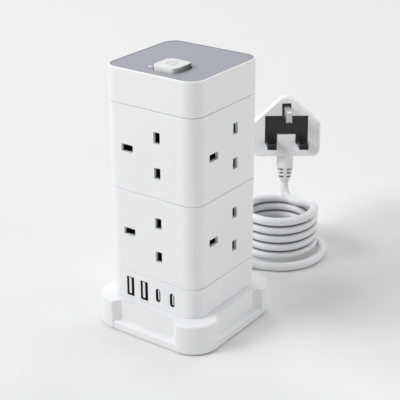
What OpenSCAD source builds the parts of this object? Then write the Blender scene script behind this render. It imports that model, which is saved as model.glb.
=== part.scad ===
// Tower power strip: a square tower of two socket tiers over a USB tier and a wide base,
// with a switch on top and a coiled mains lead that ends in a fused three-pin plug.
// The base stands on z = 0 with the tower's axis on the Z axis. The USB ports face -Y.

/* [Tower] */
// Width of the square tower
tower_w = 68; // [67:0.5:76]
// Radius of the tower's upright corners
tower_r = 10; // [9:0.5:12]
// Thickness of the white housings
wall = 2; // [1.8:0.1:2.2]
// Rounding of the edges where two tiers meet
seam_r = 0.4; // [0.3:0.1:0.8]
// Width of the shadow gap between two tiers
seam_gap = 0.3; // [0.2:0.1:0.5]
// Height of the tier with the USB ports
usb_tier_h = 19.8; // [19.4:0.2:24]
// Height of one tier with sockets
socket_tier_h = 54.5; // [52:0.5:62]
// Height of the top tier
cap_h = 21.3; // [21.3:0.1:26]

/* [Sockets] */
// Pitch between the three pins, along and across
pin_pitch = 22.2; // [22:0.1:22.4]
// Distance from the middle of a face to its earth slot
earth_offset = 16; // [15.5:0.1:16.5]
// Length of an earth slot
earth_slot_l = 8.6; // [8.4:0.1:8.8]
// Length of a live or neutral slot
line_slot_l = 7; // [6.8:0.1:7.4]
// Width of every slot
slot_w = 4.7; // [4.5:0.1:4.9]
// Thickness of the black guide plate behind a face
guide_t = 2.4; // [2.3:0.1:2.6]
// Thickness of a shutter
shutter_t = 2.5; // [2.2:0.1:2.6]
// Running clearance in front of and behind a shutter
shutter_gap = 0.3; // [0.25:0.05:0.35]

/* [Ports] */
// Distance between two neighbouring USB ports
port_pitch = 10.8; // [10.4:0.1:11.2]
// Height of the middle of the ports above the bottom of their tier
port_z = 9.2; // [9.2:0.1:9.6]

/* [Base] */
// Width of the square base
base_w = 86.5; // [85.5:0.5:96]
// Radius of the upright corners of the base
base_r = 17.3; // [16:0.1:18]
// Height of the base above the feet
base_h = 19.4; // [19:0.1:24]
// Height of the rubber feet below the base
foot_h = 0.8; // [0.6:0.1:1.2]
// Half the length of a side recess at the outer face
recess_half = 25; // [24:0.5:26]
// Depth of a side recess
recess_d = 4.3; // [3.8:0.1:4.6]
// Height of the ledge along the bottom of a recess
ledge_h = 5.9; // [5:0.1:6.2]

/* [Power button] */
// Width of the power button
button_w = 17.5; // [16.5:0.1:18]
// Height of the button above the panel
button_up = 3; // [2.9:0.1:3.5]
// Distance that the button travels
button_travel = 2.5; // [2:0.1:2.7]

/* [Lead] */
// Diameter of the mains lead
cord_d = 6; // [5.8:0.1:6.1]
// Radius of the coil at the middle of its turns
coil_r = 25; // [24.9:0.1:25.1]

/* [Plug] */
// Width of the plug
plug_w = 48.4; // [47.6:0.2:50]
// Height of the plug from its flat bottom to its top
plug_h = 43.5; // [43:0.1:46]
// Thickness of the plug behind its pin face
plug_t = 20; // [19:0.5:22]
// Length of the ribbed boot under the plug
boot_l = 20; // [18:0.5:24]
// Distance that the fuse carrier slides out
carrier_travel = 8.6; // [8.2:0.1:9]

/* [Hidden] */
$fn = 64;
// Overrun of a cut past the face that it opens
over = 1;
// Clearance between two fixed pieces that slip together
slip = 0.05;
// Points on a quarter of a rounded edge
edge_steps = 3;

// Levels of the tiers
base_top = foot_h + base_h;
usb_top = base_top + usb_tier_h;
tier_z = [usb_top, usb_top + socket_tier_h];
cap_z = usb_top + 2 * socket_tier_h;
tower_top = cap_z + cap_h;
socket_z = [for (z = tier_z) z + socket_tier_h / 2];
half = tower_w / 2;
inner_half = half - wall;

// Lap of one housing inside the next: height of the tongue and its share of the wall
lap_h = 1.4;
lap_share = 0.5;

// Slots, seen from outside a face: the earth slot is on the left, live is at the top right
line_x = pin_pitch - earth_offset;
line_dz = pin_pitch / 2;

// Guide plates and the carrier that they lie on
carrier_half = inner_half - guide_t;
guide_w = tower_w - 2 * tower_r;
carrier_r = 6;
well_half = 13;

// Shutters: a bar over the live and neutral slots, a stem and a cam behind the earth slot
shutter_lap = 0.5;
shutter_travel = slot_w + shutter_lap;
shutter_out = carrier_half - shutter_gap;
shutter_in = shutter_out - shutter_t;
bar_x = line_x - slot_w / 2 - shutter_lap;
bar_w = slot_w + 2 * shutter_lap;
bar_half = line_dz + line_slot_l / 2 + shutter_lap;
stem_w = 6;
cam_right = -earth_offset + earth_slot_l / 2;
cam_d = shutter_travel;
cam_spare = 0.2;
cam_left = cam_right - cam_d - cam_spare;
cam_root = 3.4;
channel_d = shutter_t + 2 * shutter_gap;
channel_in = carrier_half - channel_d;
spring_room = 5.25;
spring_wall = bar_x + bar_w + shutter_travel + spring_room;
spring_folds = 7;
spring_rise = 1.2;
spring_h = 4.2;
spring_t = 1.8;

// Contacts: two leaves that pinch a pin, joined to a square ring in the carrier's well
leaf_t = 0.6;
leaf_root_gap = 4;
leaf_pinch_gap = 3.4;
leaf_mouth_gap = 4.6;
leaf_line_h = 6;
leaf_earth_h = 8;
leaf_inset = 4.2;
leaf_mouth = channel_in - leaf_inset;
pinch_share = 0.8;
ring_half = 12;
ring_w = 1.5;
ring_t = 1;
riser_w = 4;
riser_t = 1.2;
riser_gap = 1.1;
window_line_w = 6.1;
window_line_h = 8.4;
window_earth_w = 10;
window_earth_h = 6.4;
window_earth_in = 10.5;

// Tie screws run from the base up through every tier into the cap
tie_inset = 9.6;
tie_x = half - tie_inset;
tie_r = 1.5;
tie_hole_r = 1.7;
tie_head_r = 2.9;
tie_head_h = 2.2;
boss_r = 3.4;
tie_bite = 15;

// USB tier
usb_floor_t = 1.6;
usb_board_t = 1.2;
usb_board_w = 51;
wire_hole_r = 8;
port_count = 4;
port_x0 = -1.55 * port_pitch;
port_in = 0.2;
port_depth = 14.3;
usb_a_h = 13.1;
usb_a_w = 5.7;
usb_a_wall = 0.3;
usb_a_tongue_h = 11.1;
usb_a_tongue_w = 1.9;
usb_a_tongue_x = -0.9;
usb_a_tongue_in = 0.7;
usb_c_h = 9.2;
usb_c_w = 3.5;
usb_c_wall = 0.3;
usb_c_tongue_h = 6.7;
usb_c_tongue_w = 0.8;
usb_c_tongue_in = 0.6;
transformer = [14, 11, 13];
transformer_x = -14;
capacitor_r = 3.6;
capacitor_l = 13;
capacitor_xs = [9, 18];

// Base
base_edge = 1.5;
base_foot_edge = 0.8;
top_plate_t = 2.2;
base_wall = 2.2;
base_cavity_r = 11;
cover_t = 2;
cover_gap = 0.2;
ledge_in = 0.5;
ledge_round = 1.4;
ledge_fall = 0.5;
ledge_bite = 0.5;
foot_r = 5.5;
foot_t = 1.6;
foot_inset = 7.75;
cover_screw_inset = 5.25;
cover_screw_r = 1.4;
cover_screw_l = 8;
cover_head_r = 2.6;
cover_head_h = 1.4;
cover_boss_r = 3;
base_half = base_w / 2;
recess_wall = base_half - recess_d;
cavity_half = recess_wall - base_wall;
foot_xy = cavity_half - foot_inset;
cover_screw_xy = cavity_half - cover_screw_inset;

// Lead inlet at the back of the base
gland_x = -12;
gland_z = 11.4;
gland_l = 16;
gland_root_r = 4.5;
gland_tip_r = 3.6;
gland_flange_r = 6.2;
gland_flange_t = 1.6;
gland_ribs = 4;
gland_rib_w = 1.1;
gland_rib_pitch = 2.6;
gland_rib_depth = 0.6;
gland_hole_gap = 0.1;
stub_l = 14;
clamp_inset = 11.75;
clamp_y = cavity_half - clamp_inset;
clamp_bar = [17.6, 7, 2.5];
clamp_screw_dx = 6.1;
clamp_post_r = 2.8;
clamp_screw_r = 1.2;
clamp_screw_l = 9;
clamp_head_r = 2.3;
clamp_head_h = 1.5;
wire_r = 0.95;
wire_low_share = 0.85;
wire_pitch = 3;
wire_root_pitch = 2;

// Top cap, its panel and the power button
cap_edge = 0.8;
rim_w = 1.3;
panel_t = 1.6;
panel_down = 0.2;
cap_plate_t = 2;
button_x = 5;
button_y = -16;
button_r = 4;
button_gap = 1;
button_edge = 0.6;
button_wall = 1.6;
button_top_t = 2;
button_flange = 0.9;
button_flange_t = 1;
collar_t = 1.2;
collar_l = 4.4;
lens_x = -8.2;
lens_y = -20.4;
lens_r = 1.1;
stem_r = 2.5;
bore_gap = 0.08;
board_t = 1.6;
board_gap = 0.9;
board_w = 2 * (tie_x - boss_r - board_gap);
board_shift = 5;
switch_w = 13;
switch_spare = 0.6;
stem_dip = 1;
switch_bore_d = stem_dip + button_travel + switch_spare;
coil_spring_r = 4.6;
coil_spring_wire = 0.7;
coil_spring_turns = 6;
spring_sides = 6;
spring_rings = 8;
varistor_r = 5;
varistor_t = 3.6;
varistor_x = -12;
varistor_y = 8;
panel_z = tower_top - panel_down;
button_z = panel_z + button_up;
collar_z = tower_top - panel_down - panel_t - cap_plate_t - collar_l;
board_z = cap_z;
switch_z = board_z + board_t;
flange_z = collar_z - 4 * slip - button_flange_t;
switch_top = flange_z - button_travel - switch_spare;

// Coil: a loop on the floor that winds in and climbs into a stack of turns
coil_c = [-1, 116];
coil_start = -65;
coil_climb = 100;
coil_wound = 140;
coil_end = 1800;
loop_extra = 11;
coil_gap = 0.45;
coil_steps = 24;
coil_sides = 6;
coil_pitch = cord_d + coil_gap;

// Route of the free lead after the gland, and of the tail from the coil up to the boot
tube_sides = 8;
lead_points = [
    [-12, 55, 11.4], [-12, 58.5, 11.4], [-11.2, 64, 10.8], [-9, 69, 9.1],
    [-5.5, 73.2, 6.9], [-1, 76.6, 4.9], [3.8, 79, 3.6]
];
tail_points = [
    [23, 123.8, 34], [20, 128.2, 34.2], [15.2, 130.6, 34.1], [9.7, 131.2, 33.6],
    [4.2, 131, 33], [-0.9, 131.1, 33.3], [-5.2, 131.9, 35.8]
];

// Plug: it stands on its boot, turned and leaning back as it does on the coil
plug_at = [-8, 133.5, 46];
plug_turn = 36;
plug_lean = 8;
boot_root_r = 6;
boot_neck_r = 4.6;
boot_neck_l = 2.6;
boot_cone_share = 0.55;
boot_tip_t = 0.6;
boot_tip_r = cord_d / 2 + boot_tip_t;
boot_slots = 3;
boot_slot_h = 1.3;
boot_slot_pitch = 2.8;
boot_slot_z = 3;
boot_core_t = 0.2;
boot_core_r = cord_d / 2 + boot_core_t;
boot_spine_w = 2.4;
face_y = -9;
line_up = 10.5;
plug_corner_r = 5;
plug_top_r = 8.5;
plug_side_h = 27.5;
plug_shoulder_r = 5;
plug_edge = 1.2;
plug_rim_t = 6;
plug_back_in = 5;
insert_t = 4;
bar_half_w = 15.3;
insert_low = 5.6;
insert_high = 19;
neck_half_w = 3.25;
neck_up = 5.7;
lobe_w = 8.8;
lobe_down = 3.4;
lobe_chamfer = 2.7;
line_pin = [6.35, 17.7, 4];
earth_pin = [4, 22.7, 8];
pin_root = 7;
pin_chamfer = 1;
sleeve_l = 9;
sleeve_t = 0.5;
fuse_r = 3.15;
fuse_l = 25.4;
fuse_cap_l = 5.5;
fuse_cap_t = 0.1;
carrier_w = 28.4;
carrier_hold = 0.8;
carrier_h = 8.6;
carrier_d = carrier_travel + carrier_hold;
carrier_gap = 0.15;
carrier_front_t = 1.4;
plug_z0 = boot_l;
line_z = plug_z0 + line_up;
earth_z = line_z + pin_pitch;
carrier_z = line_z + (insert_low + insert_high) / 2;
fuse_y = face_y + carrier_front_t + fuse_r + 2 * slip;

// Half profile of a block with rounded edges, from its corner axis outwards
function edge_profile(r, h, low, high) = concat(
    [[0, 0]],
    [for (i = [0:edge_steps]) let (a = 90 * i / edge_steps) [r - low + low * sin(a), low - low * cos(a)]],
    [for (i = [0:edge_steps]) let (a = 90 * i / edge_steps) [r - high + high * cos(a), h - high + high * sin(a)]],
    [[0, h]]);

// Square block with round upright corners and rounded bottom and top edges
module soft_block(w, r, h, low, high) {
    core = w / 2 - r;
    profile = edge_profile(r, h, low, high);
    last = len(profile) - 1;
    right_side = [for (p = profile) [p[0] + core, p[1]]];
    left_side = [for (i = [last:-1:0]) [-profile[i][0] - core, profile[i][1]]];
    for (x = [-core, core], y = [-core, core])
        translate([x, y, 0]) rotate_extrude() polygon(profile);
    for (turn = [0, 90])
        rotate([90, 0, turn]) linear_extrude(2 * core, center = true) polygon(concat(right_side, left_side));
}

// Square with round corners, as a flat outline
module round_square(w, r) {
    square([w, w - 2 * r], center = true);
    square([w - 2 * r, w], center = true);
    for (x = [-1, 1], y = [-1, 1])
        translate([x * (w / 2 - r), y * (w / 2 - r)]) circle(r);
}

// Prism over a round square from one level to another
module round_prism(w, r, from, to) {
    translate([0, 0, from]) linear_extrude(to - from) round_square(w, r);
}

// Box given by its lowest and highest corners
module span(low, high) {
    translate(low) cube(high - low);
}

// Turns the children from the front face to face number k, counted to the right
module on_face(k) {
    rotate([0, 0, 90 * k]) children();
}

module at_ties() {
    for (x = [-tie_x, tie_x], y = [-tie_x, tie_x]) translate([x, y, 0]) children();
}

module rod(r, from, to) {
    translate([0, 0, from]) cylinder(r = r, h = to - from);
}

// Three slots of one socket, as cutters through the front wall between two depths
module slot_cuts(z, near, far) {
    for (s = [-1, 1])
        span([line_x - slot_w / 2, -far, z + s * line_dz - line_slot_l / 2],
             [line_x + slot_w / 2, -near, z + s * line_dz + line_slot_l / 2]);
    span([-earth_offset - earth_slot_l / 2, -far, z - slot_w / 2],
         [-earth_offset + earth_slot_l / 2, -near, z + slot_w / 2]);
}

// Tongue along a housing's top edge, and the rebate for the one below
module lap_tongue(z) {
    difference() {
        round_prism(2 * (inner_half + wall * lap_share) - 2 * slip, tower_r - wall * lap_share, z - over, z + lap_h);
        round_prism(2 * inner_half, tower_r - wall, z - 2 * over, z + lap_h + over);
    }
}

module lap_rebate(z) {
    round_prism(2 * (inner_half + wall * lap_share), tower_r - wall * lap_share, z - over, z + lap_h);
}

// A tier of the tower: a square tube with a tongue at its top
module tier_tube(z, h) {
    difference() {
        translate([0, 0, z]) soft_block(tower_w, tower_r, h - seam_gap, seam_r, seam_r);
        round_prism(2 * inner_half, tower_r - wall, z - over, z + h + over);
    }
    lap_tongue(z + h);
}

module socket_housing(tier) {
    z = tier_z[tier];
    color("white") difference() {
        tier_tube(z, socket_tier_h);
        lap_rebate(z);
        for (k = [0:3]) on_face(k) slot_cuts(socket_z[tier], inner_half - over, half + over);
    }
}

module lower_socket_housing() { socket_housing(0); }

module upper_socket_housing() { socket_housing(1); }

// Four black plates behind the slots: they hold the shutters in their channels
module shutter_guides(tier) {
    z = tier_z[tier];
    color("dimgray") for (k = [0:3]) on_face(k) difference() {
        span([-guide_w / 2, -inner_half, z + lap_h + slip], [guide_w / 2, -carrier_half, z + socket_tier_h - slip]);
        slot_cuts(socket_z[tier], carrier_half - over, inner_half + over);
    }
}

module lower_shutter_guides() { shutter_guides(0); }

module upper_shutter_guides() { shutter_guides(1); }

// Channel of one shutter with its cam pocket and spring room, as a cutter
module shutter_channel(z) {
    front = -carrier_half - over;
    span([bar_x - shutter_gap, front, z - bar_half - shutter_gap],
         [bar_x + bar_w + shutter_travel + shutter_gap, -channel_in, z + bar_half + shutter_gap]);
    span([cam_left - shutter_gap, front, z - stem_w / 2 - shutter_gap],
         [spring_wall, -channel_in, z + stem_w / 2 + shutter_gap]);
    span([cam_left - shutter_gap, front, z - stem_w / 2 - shutter_gap],
         [cam_right + cam_root + shutter_travel + shutter_gap, -shutter_out + cam_d + shutter_gap, z + stem_w / 2 + shutter_gap]);
}

// Windows through the carrier's wall for the contacts of one socket
module contact_windows(z) {
    for (s = [-1, 1])
        span([line_x - window_line_w / 2, -channel_in - over, z + s * line_dz - window_line_h / 2],
             [line_x + window_line_w / 2, -well_half + over, z + s * line_dz + window_line_h / 2]);
    span([-earth_offset - window_earth_w / 2, -carrier_half - over, z - window_earth_h / 2],
         [-earth_offset + window_earth_w / 2, -window_earth_in, z + window_earth_h / 2]);
}

// Black block that carries the contacts and the shutters of one tier
module contact_carrier(tier) {
    z = tier_z[tier];
    color("dimgray") difference() {
        round_prism(2 * carrier_half, carrier_r, z, z + socket_tier_h);
        translate([0, 0, z - over]) linear_extrude(socket_tier_h + 2 * over) square(2 * well_half, center = true);
        for (k = [0:3]) on_face(k) {
            shutter_channel(socket_z[tier]);
            contact_windows(socket_z[tier]);
        }
        at_ties() rod(tie_hole_r, z - over, z + socket_tier_h + over);
    }
}

module lower_contact_carrier() { contact_carrier(0); }

module upper_contact_carrier() { contact_carrier(1); }

// Shutter of one socket: the earth pin pushes on the sloping cam and slides it to the right
module shutter(tier, k) {
    z = socket_z[tier];
    cam_in = -shutter_out + cam_d;
    color("gray") on_face(k) {
        span([bar_x, -shutter_out, z - bar_half], [bar_x + bar_w, -shutter_in, z + bar_half]);
        span([cam_right, -shutter_out, z - stem_w / 2], [bar_x + over, -shutter_in, z + stem_w / 2]);
        translate([0, 0, z - stem_w / 2]) linear_extrude(stem_w) polygon([
            [cam_right, -shutter_out], [cam_right + cam_root, -shutter_out],
            [cam_right + cam_root, cam_in], [cam_left, cam_in]]);
    }
}

module lower_front_shutter() { shutter(0, 0); }

module lower_right_shutter() { shutter(0, 1); }

module lower_back_shutter() { shutter(0, 2); }

module lower_left_shutter() { shutter(0, 3); }

module upper_front_shutter() { shutter(1, 0); }

module upper_right_shutter() { shutter(1, 1); }

module upper_back_shutter() { shutter(1, 2); }

module upper_left_shutter() { shutter(1, 3); }

// Folded flat spring that returns a shutter
module fold_spring(z) {
    from = bar_x + bar_w + slip;
    step = (spring_wall - slip - from) / spring_folds;
    low = [for (i = [0:spring_folds]) [from + i * step, (i % 2 == 0 ? -1 : 1) * spring_h / 2 - spring_rise / 2]];
    high = [for (i = [spring_folds:-1:0]) [low[i][0], low[i][1] + spring_rise]];
    translate([0, -(shutter_out + shutter_in - spring_t) / 2, z])
        rotate([90, 0, 0]) linear_extrude(spring_t) polygon(concat(low, high));
}

module shutter_springs(tier) {
    color("silver") for (k = [0:3]) on_face(k) fold_spring(socket_z[tier]);
}

module lower_shutter_springs() { shutter_springs(0); }

module upper_shutter_springs() { shutter_springs(1); }

// Outline of one leaf from the ring to its flared mouth; side is 1 or -1
function leaf_outline(side, root) = let (
    pinch = root + (leaf_mouth - root) * pinch_share,
    inner = [[leaf_root_gap / 2, -root], [leaf_pinch_gap / 2, -pinch], [leaf_mouth_gap / 2, -leaf_mouth]])
    concat([for (p = inner) [side * p[0], p[1]]],
           [for (i = [2:-1:0]) [side * (inner[i][0] + leaf_t), inner[i][1]]]);

module line_leaves(z) {
    for (side = [-1, 1])
        translate([line_x, 0, z - leaf_line_h / 2]) linear_extrude(leaf_line_h)
            polygon(leaf_outline(side, ring_half - ring_w / 2));
}

// The earth leaves lie above and below their pin, and an arm ties them to the ring
module earth_leaves(z) {
    for (side = [-1, 1])
        translate([-earth_offset - leaf_earth_h / 2, 0, z]) rotate([0, 90, 0]) linear_extrude(leaf_earth_h)
            polygon(leaf_outline(side, ring_half - ring_w / 2));
    span([-earth_offset - leaf_earth_h / 2, -ring_half, z - leaf_root_gap / 2 - leaf_t],
         [-ring_half + ring_w, -ring_half + leaf_t, z + leaf_root_gap / 2 + leaf_t]);
}

module contact_ring(z) {
    translate([0, 0, z - ring_t / 2]) linear_extrude(ring_t) difference() {
        square(2 * ring_half, center = true);
        square(2 * (ring_half - ring_w), center = true);
    }
}

// Upright strip that joins the rings of one pole; turn says on which side of the well it runs
module riser(turn, dz) {
    outer = ring_half - ring_w - riser_gap;
    rotate([0, 0, turn]) {
        span([outer - riser_t, -riser_w / 2, socket_z[0] + dz - ring_t / 2],
             [outer, riser_w / 2, socket_z[1] + dz + ring_t / 2]);
        for (z = socket_z)
            span([outer - riser_t / 2, -riser_w / 2, z + dz - ring_t / 2],
                 [ring_half - ring_w / 2, riser_w / 2, z + dz + ring_t / 2]);
    }
}

module line_contacts(side, turn) {
    dz = side * line_dz;
    color("goldenrod") {
        for (z = socket_z) {
            contact_ring(z + dz);
            for (k = [0:3]) on_face(k) line_leaves(z + dz);
        }
        riser(turn, dz);
    }
}

module live_contacts() { line_contacts(1, 0); }

module neutral_contacts() { line_contacts(-1, 180); }

module earth_contacts() {
    color("goldenrod") {
        for (z = socket_z) {
            contact_ring(z);
            for (k = [0:3]) on_face(k) earth_leaves(z);
        }
        riser(90, 0);
    }
}

// Outline of a side recess with its slanting ends, or of the ledge in it, seen from above
module recess_outline(depth_out, end_in) {
    inner = recess_half - recess_d - end_in;
    reach = depth_out - recess_wall;
    polygon([[-inner, -recess_wall], [inner, -recess_wall], [inner + reach, -depth_out], [-inner - reach, -depth_out]]);
}

// Ledge along the bottom of a recess, with a gently falling top and a round outer edge
module ledge() {
    out = base_half - ledge_in;
    top = foot_h + ledge_h;
    steps = 2 * edge_steps;
    arc = [for (i = [0:steps]) let (a = 90 * i / steps)
        [-out + ledge_round - ledge_round * cos(90 - a), top - ledge_fall - ledge_round + ledge_round * sin(90 - a)]];
    intersection() {
        translate([0, 0, foot_h]) linear_extrude(ledge_h) recess_outline(out + over, -ledge_bite);
        rotate([90, 0, 90]) linear_extrude(2 * recess_half, center = true)
            polygon(concat([[-recess_wall + over, foot_h], [-recess_wall + over, top], [-recess_wall, top]],
                           arc, [[-out, foot_h]]));
    }
}

module base_shell() {
    cover_half = cavity_half - cover_gap;
    color("white") difference() {
        union() {
            difference() {
                translate([0, 0, foot_h]) soft_block(base_w, base_r, base_h, base_foot_edge, base_edge);
                for (k = [0:3]) on_face(k)
                    translate([0, 0, foot_h - over]) linear_extrude(base_h + 2 * over)
                        recess_outline(base_half + over, 0);
            }
            for (k = [0:3]) on_face(k) ledge();
        }
        difference() {
            round_prism(2 * cavity_half, base_cavity_r, foot_h - over, base_top - top_plate_t);
            for (k = [0:3]) on_face(k) translate([0, -cover_screw_xy, 0])
                rod(cover_boss_r, foot_h + cover_t, base_top);
            for (s = [-1, 1]) translate([gland_x + s * clamp_screw_dx, clamp_y, 0])
                rod(clamp_post_r, gland_z, base_top);
        }
        for (k = [0:3]) on_face(k) translate([0, -cover_screw_xy, 0])
            rod(cover_screw_r + slip, foot_h, foot_h + cover_screw_l + over);
        for (s = [-1, 1]) translate([gland_x + s * clamp_screw_dx, clamp_y, 0])
            rod(clamp_screw_r + slip, gland_z - over, gland_z + clamp_screw_l - clamp_bar[2] - cord_d / 2);
        at_ties() rod(tie_hole_r, foot_h, base_top + over);
        rod(wire_hole_r, foot_h, base_top + over);
        translate([gland_x, 0, gland_z]) rotate([-90, 0, 0]) rod(gland_root_r + gland_hole_gap, cavity_half - over, base_half + over);
    }
}

module base_cover() {
    color("white") difference() {
        round_prism(2 * (cavity_half - cover_gap), base_cavity_r - cover_gap, foot_h, foot_h + cover_t);
        for (k = [0:3]) on_face(k) translate([0, -cover_screw_xy, 0]) {
            rod(cover_screw_r + 2 * slip, foot_h - over, foot_h + cover_t + over);
            translate([0, 0, foot_h]) cylinder(r1 = cover_head_r + slip, r2 = cover_screw_r + 2 * slip, h = cover_head_h);
        }
        for (x = [-foot_xy, foot_xy], y = [-foot_xy, foot_xy]) translate([x, y, 0])
            rod(foot_r + slip, foot_h - over, foot_t);
    }
}

module rubber_feet() {
    color("dimgray") for (x = [-foot_xy, foot_xy], y = [-foot_xy, foot_xy])
        translate([x, y, 0]) rod(foot_r, 0, foot_t);
}

module cover_screws() {
    color("silver") for (k = [0:3]) on_face(k) translate([0, -cover_screw_xy, 0]) {
        translate([0, 0, foot_h]) cylinder(r1 = cover_head_r, r2 = cover_screw_r, h = cover_head_h);
        rod(cover_screw_r, foot_h, foot_h + cover_screw_l);
    }
}

module tie_screws() {
    head_z = base_top - top_plate_t;
    color("silver") at_ties() {
        rod(tie_head_r, head_z - tie_head_h, head_z);
        rod(tie_r, head_z - tie_head_h / 2, cap_z + tie_bite);
    }
}

// Ribbed strain relief; its flange sits inside the base's back wall
module cord_gland() {
    steps = gland_ribs;
    color("white") translate([gland_x, 0, gland_z]) rotate([-90, 0, 0]) difference() {
        union() {
            rod(gland_flange_r, cavity_half - gland_flange_t, cavity_half);
            rod(gland_root_r, cavity_half - gland_flange_t, recess_wall);
            translate([0, 0, recess_wall]) cylinder(r1 = gland_root_r, r2 = gland_tip_r, h = gland_l);
        }
        for (i = [0:steps - 1]) translate([0, 0, recess_wall + gland_rib_pitch * (i + 1.5)]) difference() {
            rod(gland_root_r + over, 0, gland_rib_w);
            rod(gland_tip_r - gland_rib_depth / 2, -over, gland_rib_w + over);
        }
    }
}

module cord_clamp() {
    top = gland_z - cord_d / 2;
    color("white") difference() {
        translate([gland_x, clamp_y, top - clamp_bar[2] / 2]) cube(clamp_bar, center = true);
        for (s = [-1, 1]) translate([gland_x + s * clamp_screw_dx, clamp_y, 0])
            rod(clamp_screw_r + 2 * slip, top - clamp_bar[2] - over, top + over);
    }
}

module clamp_screws() {
    head_top = gland_z - cord_d / 2 - clamp_bar[2];
    color("silver") for (s = [-1, 1]) translate([gland_x + s * clamp_screw_dx, clamp_y, 0]) {
        rod(clamp_head_r, head_top - clamp_head_h, head_top);
        rod(clamp_screw_r, head_top - clamp_head_h / 2, head_top + clamp_screw_l);
    }
}

// Sheathed end of the lead inside the base, and its three wires up to the control board
module inner_lead() {
    stub_far = cavity_half - gland_flange_t;
    stub_near = stub_far - stub_l;
    color("silver") translate([gland_x, 0, gland_z]) rotate([-90, 0, 0]) rod(cord_d / 2, stub_near, stub_far);
    color("saddlebrown") for (i = [-1:1]) {
        low_wire([i * wire_pitch, 0], [gland_x + i * wire_root_pitch, stub_near + wire_r]);
        translate([i * wire_pitch, 0, 0]) rod(wire_r, gland_z - wire_r, board_z);
    }
}

// Straight wire between two points at the height of the lead
module low_wire(a, b) {
    d = b - a;
    translate([a[0], a[1], gland_z]) rotate([0, 0, atan2(d[1], d[0])]) rotate([0, 90, 0])
        cylinder(r = wire_r * wire_low_share, h = norm(d));
}

module usb_housing() {
    z = base_top;
    color("white") difference() {
        union() {
            tier_tube(z, usb_tier_h);
            round_prism(2 * inner_half + wall, tower_r - wall / 2, z, z + usb_floor_t);
            at_ties() rod(boss_r, z + usb_floor_t / 2, usb_top);
        }
        at_ties() rod(tie_hole_r, z - over, usb_top + over);
        rod(wire_hole_r, z - over, z + usb_floor_t + over);
        for (i = [0:port_count - 1]) translate([port_x0 + i * port_pitch, 0, z + port_z]) {
            if (i < 2) usb_a_block(half + over, inner_half - over, 0, slip);
            else usb_c_block(half + over, inner_half - over, 0, slip);
        }
    }
}

// Blocks of the port shells between two depths, shrunk by inset and grown by a gap
module usb_a_block(far, near, inset, gap) {
    w = usb_a_w / 2 - inset + gap;
    h = usb_a_h / 2 - inset + gap;
    span([-w, -far, -h], [w, -near, h]);
}

module usb_c_block(far, near, inset, gap) {
    r = usb_c_w / 2 - inset + gap;
    run = (usb_c_h - usb_c_w) / 2;
    span([-r, -far, -run], [r, -near, run]);
    for (s = [-1, 1]) translate([0, 0, s * run]) rotate([90, 0, 0]) rod(r, near, far);
}

module usb_a_shells() {
    out = half - port_in;
    color("dimgray") for (i = [0, 1]) translate([port_x0 + i * port_pitch, 0, base_top + port_z]) difference() {
        usb_a_block(out, out - port_depth, 0, 0);
        usb_a_block(out + over, out - port_depth + usb_a_wall, usb_a_wall, 0);
    }
}

module usb_a_tongues() {
    out = half - port_in;
    color("white") for (i = [0, 1])
        translate([port_x0 + i * port_pitch + usb_a_tongue_x, 0, base_top + port_z])
            span([-usb_a_tongue_w / 2, -out + usb_a_tongue_in, -usb_a_tongue_h / 2],
                 [usb_a_tongue_w / 2, -out + port_depth - usb_a_wall, usb_a_tongue_h / 2]);
}

module usb_c_shells() {
    out = half - port_in;
    color("dimgray") for (i = [2, 3]) translate([port_x0 + i * port_pitch, 0, base_top + port_z]) difference() {
        usb_c_block(out, out - port_depth, 0, 0);
        usb_c_block(out + over, out - port_depth + usb_c_wall, usb_c_wall, 0);
    }
}

module usb_c_tongues() {
    out = half - port_in;
    color("white") for (i = [2, 3]) translate([port_x0 + i * port_pitch, 0, base_top + port_z])
        span([-usb_c_tongue_w / 2, -out + usb_c_tongue_in, -usb_c_tongue_h / 2],
             [usb_c_tongue_w / 2, -out + port_depth - usb_c_wall, usb_c_tongue_h / 2]);
}

// Upright charger board behind the ports
module usb_board() {
    front = half - port_in - port_depth;
    color("green") span([-usb_board_w / 2, -front, base_top + usb_floor_t],
                        [usb_board_w / 2, -front + usb_board_t, usb_top - slip]);
}

module charger_parts() {
    back = half - port_in - port_depth - usb_board_t;
    z = base_top + usb_floor_t + slip;
    color("gold") span([transformer_x - transformer[0] / 2, -back, z],
                       [transformer_x + transformer[0] / 2, -back + transformer[1], z + transformer[2]]);
    color("black") for (x = capacitor_xs) translate([x, -back + capacitor_r, z]) cylinder(r = capacitor_r, h = capacitor_l);
}

module top_cap() {
    plate_top = tower_top - panel_down - panel_t;
    collar_w = button_w + 2 * button_gap + 2 * collar_t;
    well_w = button_w + 2 * button_gap;
    color("white") difference() {
        union() {
            difference() {
                translate([0, 0, cap_z]) soft_block(tower_w, tower_r, cap_h, seam_r, cap_edge);
                round_prism(2 * inner_half, tower_r - wall, cap_z - over, plate_top - cap_plate_t);
            }
            at_ties() rod(boss_r, cap_z, plate_top - cap_plate_t / 2);
            translate([button_x, button_y, 0]) round_prism(collar_w, button_r + button_gap + collar_t, collar_z, plate_top);
        }
        lap_rebate(cap_z);
        round_prism(tower_w - 2 * rim_w, tower_r - rim_w, plate_top, tower_top + over);
        translate([button_x, button_y, 0]) round_prism(well_w, button_r + button_gap, collar_z - over, tower_top + over);
        at_ties() rod(tie_r + slip, cap_z - over, cap_z + tie_bite + over);
        translate([lens_x, lens_y, 0]) rod(lens_r + slip, cap_z, tower_top + over);
    }
}

module top_panel() {
    w = tower_w - 2 * rim_w - 2 * slip;
    color("lightsteelblue") difference() {
        round_prism(w, tower_r - rim_w - slip, panel_z - panel_t, panel_z);
        translate([button_x, button_y, 0])
            round_prism(button_w + 2 * button_gap, button_r + button_gap, panel_z - panel_t - over, panel_z + over);
        translate([lens_x, lens_y, 0]) rod(lens_r + slip, panel_z - panel_t - over, panel_z + over);
    }
}

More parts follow.
